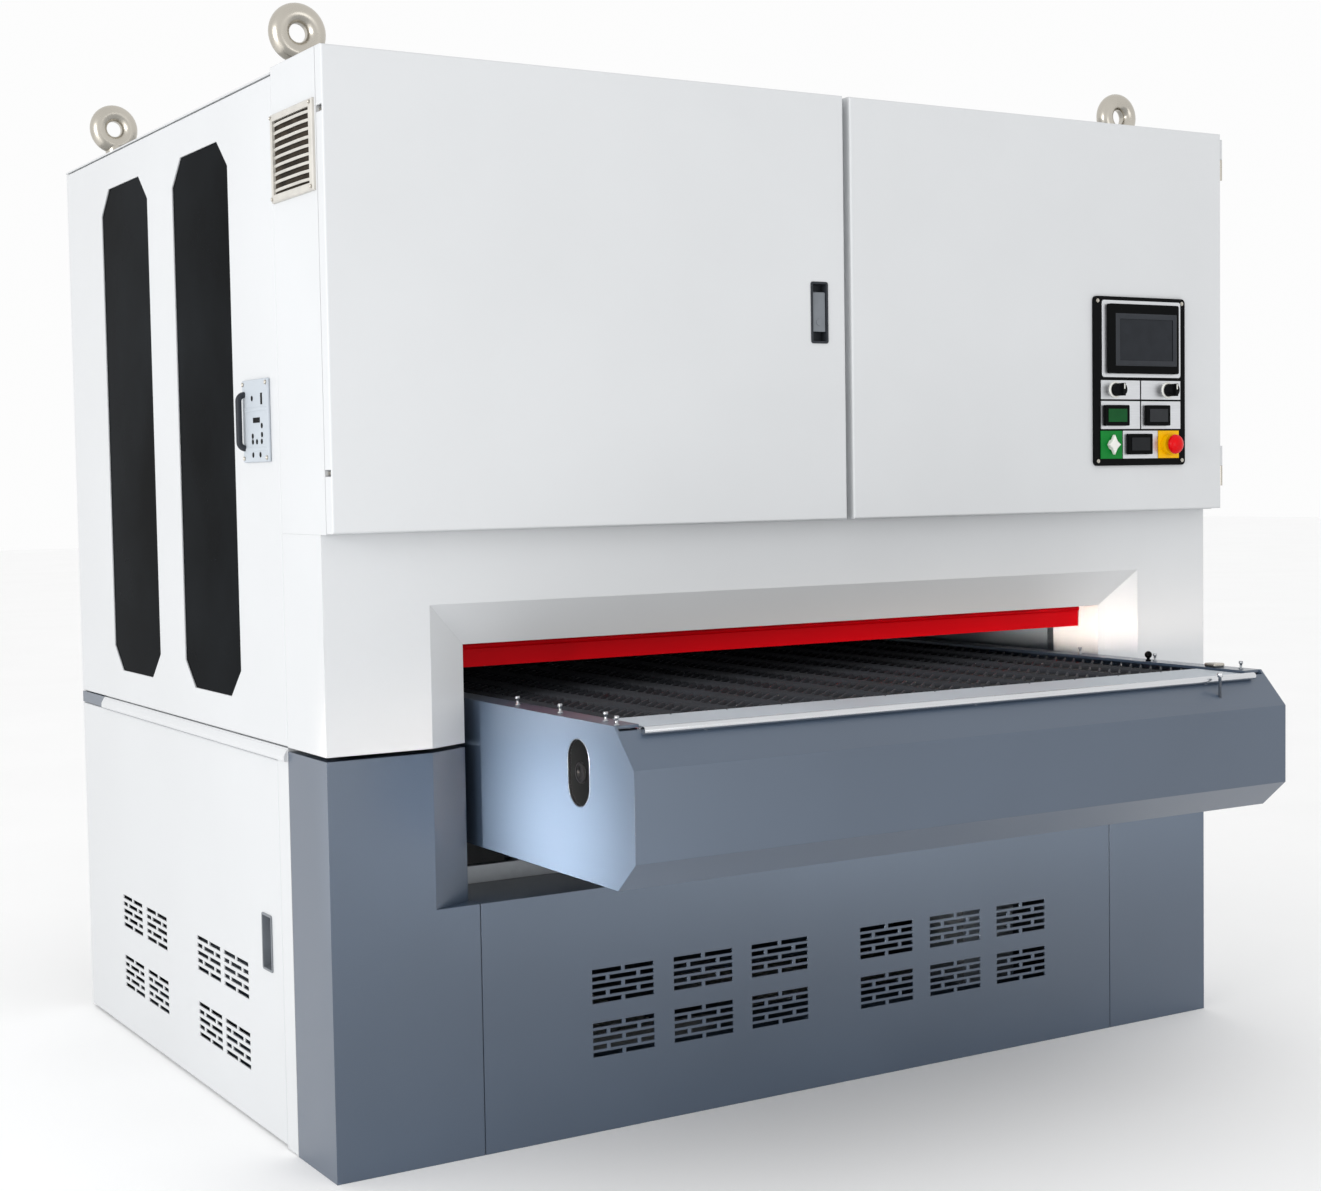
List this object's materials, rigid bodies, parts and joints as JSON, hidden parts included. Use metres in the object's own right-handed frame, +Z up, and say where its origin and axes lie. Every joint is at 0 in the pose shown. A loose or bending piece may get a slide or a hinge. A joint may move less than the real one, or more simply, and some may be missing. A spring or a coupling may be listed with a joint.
{
  "type": "wide belt sander",
  "caption": "Floor-standing wide belt sander with sanding heads over a rising conveyor table, a white sheet casing on a blue-grey base, hinged doors and a control panel.",
  "frame": {"origin": "middle of the footprint on the floor", "axes": "+X to the operator's right, +Y from the infeed to the outfeed, +Z up"},
  "size_m": [2.278, 2.452, 2.1759],
  "materials": {
    "white_paint": "satin powder coat",
    "base_paint": "satin powder coat",
    "frame_paint": "satin enamel",
    "motor_paint": "satin enamel",
    "guard_paint": "gloss powder coat",
    "steel": "machined",
    "zinc": "zinc plated",
    "stainless": "polished",
    "duct": "galvanised",
    "drum_rubber": "ground",
    "roller_rubber": "matte",
    "belt_rubber": "matte",
    "abrasive": "abrasive cloth",
    "drive_rubber": "matte",
    "pulley_iron": "machined",
    "switchgear": "matte",
    "grille": "matte",
    "panel_black": "satin",
    "bezel_black": "gloss",
    "legend_silver": "brushed",
    "screen": "gloss",
    "tile_green": "gloss",
    "tile_yellow": "gloss",
    "knob_black": "matte",
    "lens_green": "gloss",
    "lens_grey": "gloss",
    "lens_dark": "gloss",
    "knob_white": "gloss",
    "stop_red": "gloss",
    "window": "tinted",
    "handle_grey": "matte",
    "paddle_grey": "matte"
  },
  "bodies": {
    "casing": {"base_frame": "base_paint", "upper_frame": "white_paint", "frame_walls": "frame_paint", "front_columns": "base_paint", "front_lower_panel": "base_paint", "fascia": "white_paint", "cabinet_shell": "white_paint", "switchgear": "switchgear", "fan_grille": "grille", "roof_panel": "white_paint", "rear_panels": "white_paint", "right_panels": "white_paint", "dust_hoods": "duct", "lifting_eyes": "zinc", "door_hinges": "zinc", "head_beams": "frame_paint", "abrasive_belts": "abrasive", "main_motor": "motor_paint", "v_belts": "drive_rubber", "screw_jacks": "frame_paint"},
    "guard": {"infeed_guard": "guard_paint"},
    "front_left_door": {"door_front_left": "white_paint", "front_handle": "handle_grey"},
    "front_lever": {"front_paddle": "paddle_grey"},
    "front_right_door": {"door_front_right": "white_paint", "control_plate": "panel_black", "legend_plates": "legend_silver", "control_bezels": "bezel_black", "hmi_screen": "screen", "start_plate": "tile_green", "estop_plate": "tile_yellow"},
    "selector_l": {"selector_left": "knob_black"},
    "selector_r": {"selector_right": "knob_black"},
    "run_button": {"button_run": "lens_green"},
    "reverse_button": {"button_reverse": "lens_grey"},
    "reset_button": {"button_reset": "lens_dark"},
    "direction_switch": {"direction_knob": "knob_white"},
    "stop_button": {"estop_button": "stop_red"},
    "upper_side_door": {"side_door_upper": "white_paint", "side_windows": "window", "side_latch": "zinc"},
    "lower_side_door": {"side_door_lower": "white_paint", "lower_handle": "paddle_grey"},
    "drum_1": {"contact_drum_1": "drum_rubber"},
    "drum_2": {"contact_drum_2": "drum_rubber"},
    "yoke_1": {"tension_yoke_1": "frame_paint"},
    "yoke_2": {"tension_yoke_2": "frame_paint"},
    "top_roller_1": {"tension_roller_1": "steel"},
    "top_roller_2": {"tension_roller_2": "steel"},
    "rotor": {"motor_pulley": "pulley_iron"},
    "press_roller_1": {"pressure_roller_1": "roller_rubber"},
    "press_roller_2": {"pressure_roller_2": "roller_rubber"},
    "table": {"table_housing": "base_paint", "nose_plate": "stainless", "conveyor_belt": "belt_rubber", "lift_screws": "steel", "conveyor_gearmotor": "motor_paint"},
    "drive_roll": {"drive_roller": "steel"},
    "idler_roll": {"idler_roller": "steel"},
    "stop_bar": {"trip_bar": "stainless"}
  },
  "joints": [
    {"name": "front_left_door", "type": "hinge", "parent": "casing", "child": "front_left_door", "pos_m": [-1.092, -0.734, 1.6], "axis": [0, 0, -1], "range_deg": [0, 110]},
    {"name": "front_right_door", "type": "hinge", "parent": "casing", "child": "front_right_door", "pos_m": [1.107, -0.73, 1.6], "axis": [0, 0, 1], "range_deg": [0, 110]},
    {"name": "upper_side_door", "type": "hinge", "parent": "casing", "child": "upper_side_door", "pos_m": [-1.088, 0.893, 1.4], "axis": [0, 0, -1], "range_deg": [0, 110]},
    {"name": "lower_side_door", "type": "hinge", "parent": "casing", "child": "lower_side_door", "pos_m": [-1.088, 0.893, 0.4], "axis": [0, 0, -1], "range_deg": [0, 110]},
    {"name": "front_lever_pull", "type": "hinge", "parent": "front_left_door", "child": "front_lever", "pos_m": [-0.038, -0.737, 1.645], "axis": [-1, 0, 0], "range_deg": [0, 30]},
    {"name": "guard_swing", "type": "hinge", "parent": "casing", "child": "guard", "pos_m": [0, -0.58, 0.961], "axis": [1, 0, 0], "range_deg": [0, 20]},
    {"name": "table_lift", "type": "slide", "parent": "casing", "child": "table", "axis": [0, 0, 1], "range_m": [-0.06, 0.054]},
    {"name": "drive_roller_spin", "type": "hinge", "parent": "table", "child": "drive_roll", "pos_m": [0, 1.036, 0.7686], "axis": [1, 0, 0], "continuous": true},
    {"name": "idler_roller_spin", "type": "hinge", "parent": "table", "child": "idler_roll", "pos_m": [0, -1.036, 0.7686], "axis": [1, 0, 0], "continuous": true},
    {"name": "stop_bar_press", "type": "slide", "parent": "table", "child": "stop_bar", "axis": [0, 0.7279, -0.6857], "range_m": [0, 0.0016], "stiffness_N_per_m": 30000, "springref_m": -0.001},
    {"name": "drum_1_spin", "type": "hinge", "parent": "casing", "child": "drum_1", "pos_m": [0, -0.08, 1.036], "axis": [1, 0, 0], "continuous": true},
    {"name": "drum_2_spin", "type": "hinge", "parent": "casing", "child": "drum_2", "pos_m": [0, 0.43, 1.036], "axis": [1, 0, 0], "continuous": true},
    {"name": "tension_1", "type": "slide", "parent": "casing", "child": "yoke_1", "axis": [0, 0, 1], "range_m": [-0.03, 0]},
    {"name": "tension_2", "type": "slide", "parent": "casing", "child": "yoke_2", "axis": [0, 0, 1], "range_m": [-0.03, 0]},
    {"name": "top_roller_1_spin", "type": "hinge", "parent": "yoke_1", "child": "top_roller_1", "pos_m": [0, -0.08, 1.83], "axis": [1, 0, 0], "continuous": true},
    {"name": "top_roller_2_spin", "type": "hinge", "parent": "yoke_2", "child": "top_roller_2", "pos_m": [0, 0.43, 1.83], "axis": [1, 0, 0], "continuous": true},
    {"name": "rotor_spin", "type": "hinge", "parent": "casing", "child": "rotor", "pos_m": [0.9, 0.175, 0.3], "axis": [1, 0, 0], "continuous": true},
    {"name": "press_roller_1_spin", "type": "hinge", "parent": "casing", "child": "press_roller_1", "pos_m": [0, -0.335, 0.944], "axis": [1, 0, 0], "continuous": true},
    {"name": "press_roller_2_spin", "type": "hinge", "parent": "casing", "child": "press_roller_2", "pos_m": [0, 0.685, 0.944], "axis": [1, 0, 0], "continuous": true},
    {"name": "selector_left_turn", "type": "hinge", "parent": "front_right_door", "child": "selector_l", "pos_m": [0.762, -0.756, 1.458], "axis": [0, 1, 0], "range_deg": [-45, 45]},
    {"name": "selector_right_turn", "type": "hinge", "parent": "front_right_door", "child": "selector_r", "pos_m": [0.922, -0.756, 1.458], "axis": [0, 1, 0], "range_deg": [-45, 45]},
    {"name": "direction_turn", "type": "hinge", "parent": "front_right_door", "child": "direction_switch", "pos_m": [0.751, -0.756, 1.336], "axis": [0, 1, 0], "range_deg": [-45, 45]},
    {"name": "run_press", "type": "slide", "parent": "front_right_door", "child": "run_button", "axis": [0, 1, 0], "range_m": [0, 0.004], "stiffness_N_per_m": 500},
    {"name": "reverse_press", "type": "slide", "parent": "front_right_door", "child": "reverse_button", "axis": [0, 1, 0], "range_m": [0, 0.004], "stiffness_N_per_m": 500},
    {"name": "reset_press", "type": "slide", "parent": "front_right_door", "child": "reset_button", "axis": [0, 1, 0], "range_m": [0, 0.004], "stiffness_N_per_m": 500},
    {"name": "stop_press", "type": "slide", "parent": "front_right_door", "child": "stop_button", "axis": [0, 1, 0], "range_m": [0, 0.006], "stiffness_N_per_m": 900}
  ],
  "couplings": [
    {"joint": "idler_roller_spin", "follows": "drive_roller_spin", "ratio": 1},
    {"joint": "drum_2_spin", "follows": "drum_1_spin", "ratio": 1},
    {"joint": "top_roller_1_spin", "follows": "drum_1_spin", "ratio": 1.6},
    {"joint": "top_roller_2_spin", "follows": "drum_1_spin", "ratio": 1.6},
    {"joint": "rotor_spin", "follows": "drum_1_spin", "ratio": 1.1667}
  ]
}
